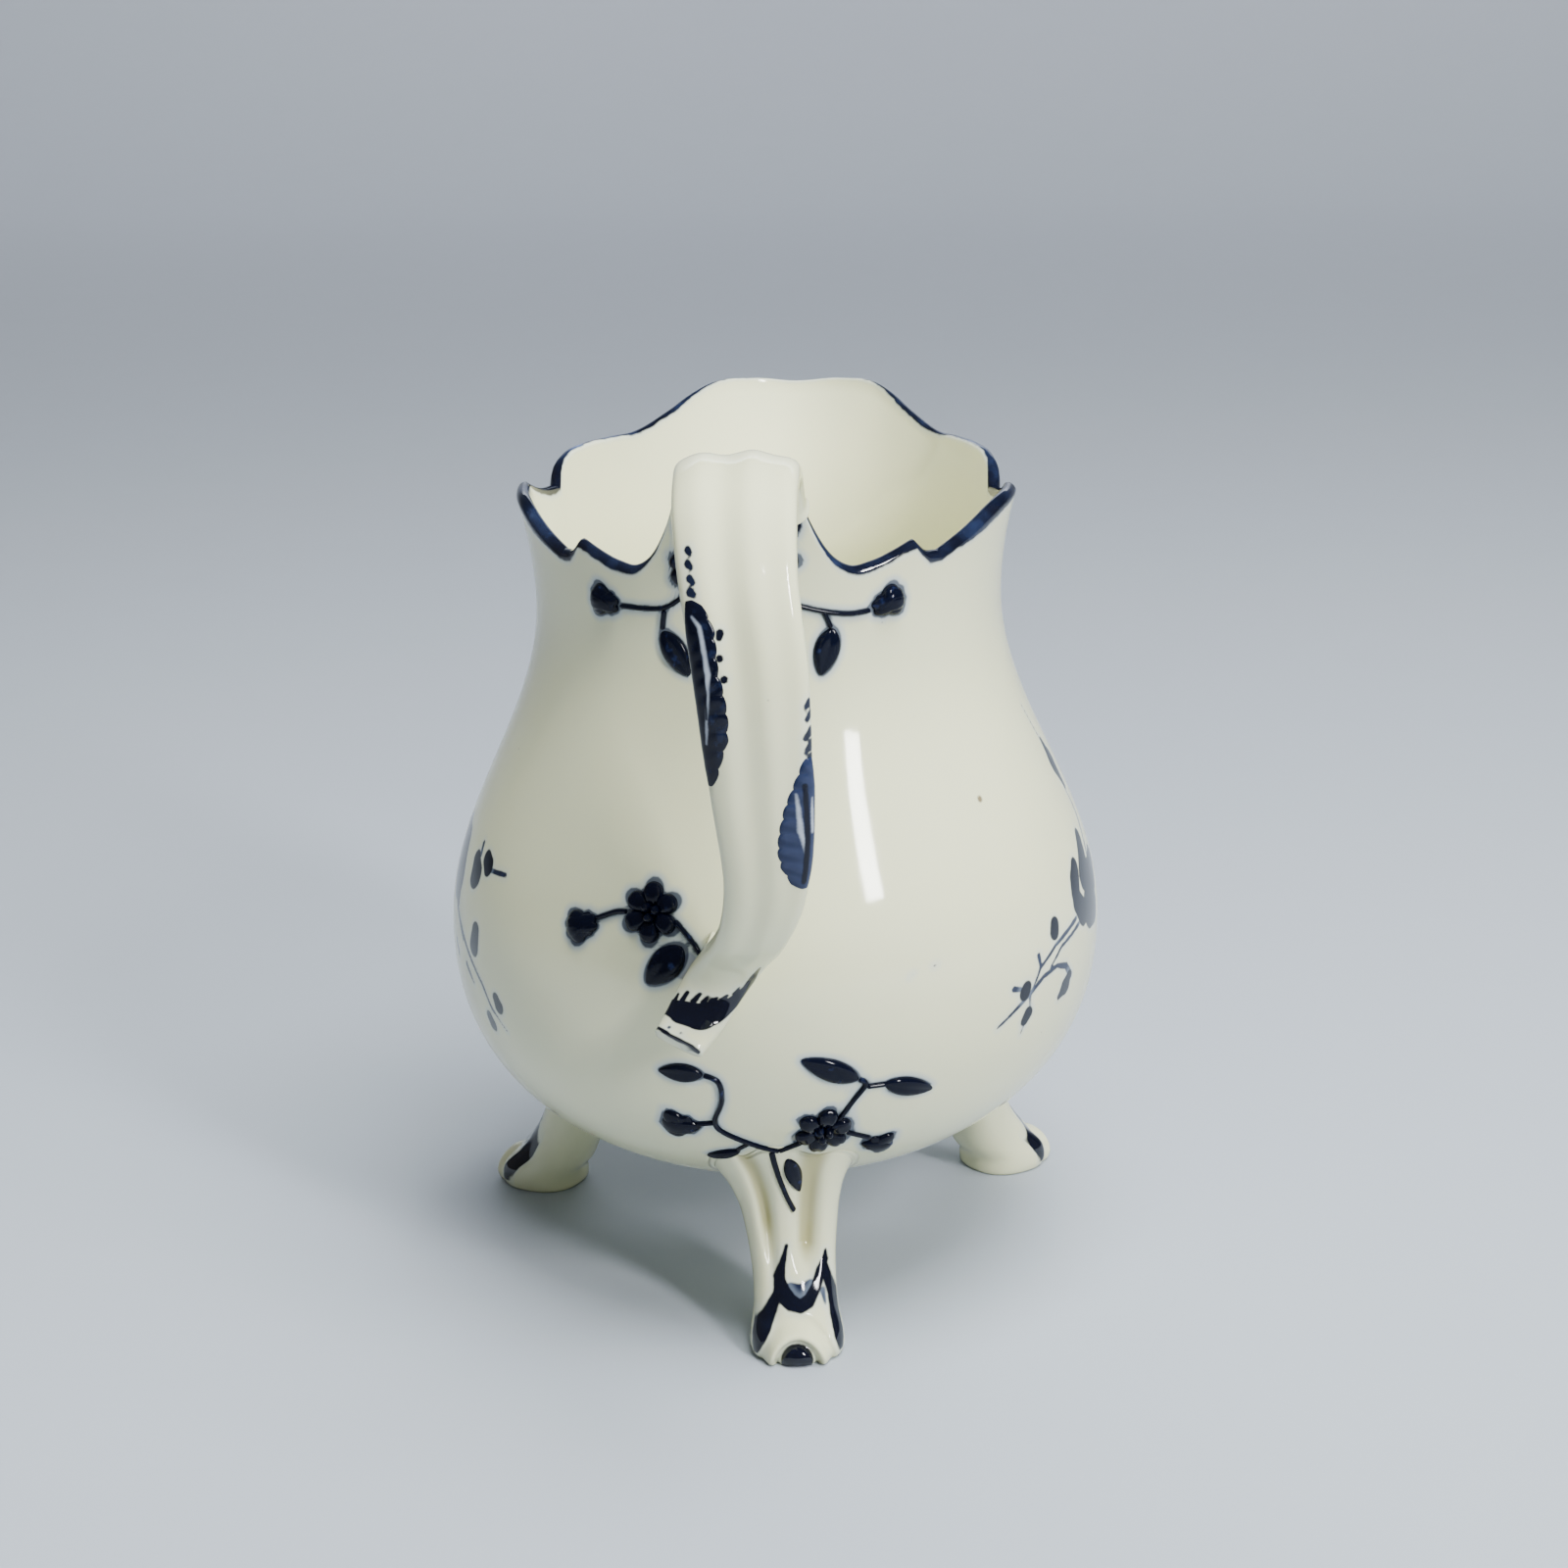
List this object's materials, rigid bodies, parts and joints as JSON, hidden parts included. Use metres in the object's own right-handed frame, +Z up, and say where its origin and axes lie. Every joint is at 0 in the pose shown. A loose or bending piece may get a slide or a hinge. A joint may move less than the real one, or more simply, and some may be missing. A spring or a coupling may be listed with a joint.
{
  "type": "cream jug",
  "caption": "Small white porcelain cream jug with a pear-shaped body on three splayed feet, a scalloped rim with a wide pouring lip, a strap handle and raised cobalt-blue flower sprigs.",
  "frame": {"origin": "on the table, under the middle of the whole jug's box", "axes": "+Z up; the handle is on -Y and the pouring lip on +Y; +X is to the right as the jug is seen from the handle's side"},
  "size_m": [0.089, 0.1085, 0.119],
  "materials": {
    "porcelain": "clear glossy glaze over creamy white porcelain",
    "cobalt": "cobalt blue, nearly black where thick, under clear glossy glaze"
  },
  "bodies": {
    "root": {"body": "porcelain", "strap_handle": "porcelain", "handle_pad": "porcelain", "handle_scroll_left": "cobalt", "handle_scroll_right": "cobalt", "foot_front": "porcelain", "foot_left": "porcelain", "foot_right": "porcelain", "front_spray_stems": "cobalt", "front_spray_leaves": "cobalt", "front_spray_flower": "cobalt", "front_spray_buds": "cobalt", "front_spray_tail": "cobalt", "left_spray_tail": "cobalt", "right_spray_tail": "cobalt", "left_spray_stems": "cobalt", "left_spray_leaves": "cobalt", "left_spray_flower": "cobalt", "left_spray_buds": "cobalt", "right_spray_stems": "cobalt", "right_spray_leaves": "cobalt", "right_spray_flower": "cobalt", "right_spray_buds": "cobalt", "upper_left_stems": "cobalt", "upper_left_leaf": "cobalt", "upper_left_buds": "cobalt", "upper_left_flower": "cobalt", "upper_right_stems": "cobalt", "upper_right_leaf": "cobalt", "upper_right_buds": "cobalt", "upper_right_flower": "cobalt", "handle_spray_stems": "cobalt", "handle_spray_leaf": "cobalt", "handle_spray_bud": "cobalt", "handle_spray_flower": "cobalt"}
  },
  "joints": []
}
